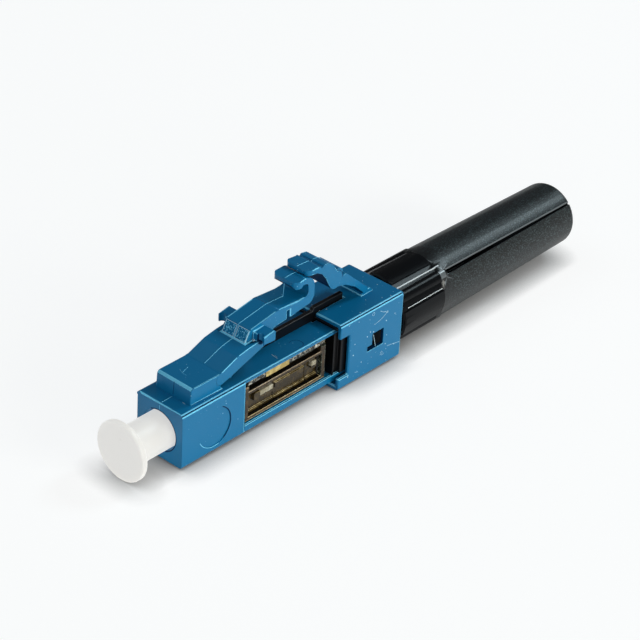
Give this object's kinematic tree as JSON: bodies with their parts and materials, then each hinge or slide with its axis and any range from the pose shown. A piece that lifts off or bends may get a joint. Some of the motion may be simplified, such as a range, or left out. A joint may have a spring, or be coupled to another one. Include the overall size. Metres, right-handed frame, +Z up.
{
  "type": "fibre connector",
  "caption": "Field-fitted fibre-optic plug with a square latched nose, windowed splice, blue lock box with a trigger, slit black tail sleeve and white dust cap.",
  "frame": {"origin": "centre of the plug's front face, on the fibre's axis", "axes": "+X along the fibre from the plug to the cable end, +Z up through the latch lever, +Y across"},
  "size_m": [0.048, 0.0058, 0.0105],
  "materials": {
    "cap_white": "soft matte, slightly translucent",
    "shell_blue": "semi-gloss moulding",
    "ferrule_white": "polished zirconia",
    "fibre_glass": "clear glass",
    "holder_metal": "turned metal",
    "splice_amber": "translucent amber moulding",
    "lid_amber": "translucent amber moulding",
    "slider_amber": "translucent amber moulding",
    "spring_steel": "drawn wire",
    "body_black": "semi-gloss moulding",
    "tail_black": "gloss at the front, fine matte texture behind"
  },
  "bodies": {
    "connector": {"plug_housing": "shell_blue", "main_body": "body_black", "lock_sleeve": "shell_blue", "fibre_guide": "body_black", "float_spring": "spring_steel"},
    "cap": {"dust_cap": "cap_white"},
    "latch": {"latch_lever": "shell_blue"},
    "trigger": {"trigger": "shell_blue"},
    "ferrule_set": {"ferrule": "ferrule_white", "fibre_stub": "fibre_glass", "ferrule_holder": "holder_metal", "splice_base": "splice_amber", "splice_lid_front": "lid_amber", "splice_lid_middle": "lid_amber", "splice_lid_rear": "lid_amber", "clamp_slider": "slider_amber"},
    "tail": {"tail_sleeve": "tail_black"}
  },
  "joints": [
    {"name": "cap_pull", "type": "slide", "parent": "connector", "child": "cap", "axis": [-1, 0, 0], "range_m": [0, 0.009]},
    {"name": "trigger_flex", "type": "hinge", "parent": "connector", "child": "trigger", "pos_m": [0.0201, 0, 0.0033], "axis": [0, -1, 0], "range_deg": [0, 8], "stiffness_Nm_per_rad": 0.03},
    {"name": "latch_flex", "type": "hinge", "parent": "connector", "child": "latch", "pos_m": [0.0043, 0, 0.00307], "axis": [0, 1, 0], "range_deg": [0, 7], "stiffness_Nm_per_rad": 0.03},
    {"name": "ferrule_float", "type": "slide", "parent": "connector", "child": "ferrule_set", "axis": [1, 0, 0], "range_m": [0, 0.0006], "stiffness_N_per_m": 800, "deforming": ["float_spring"]},
    {"name": "tail_slide", "type": "slide", "parent": "connector", "child": "tail", "axis": [1, 0, 0], "range_m": [0, 0.0095]}
  ],
  "couplings": [
    {"joint": "latch_flex", "follows": "trigger_flex", "ratio": 0.85}
  ]
}
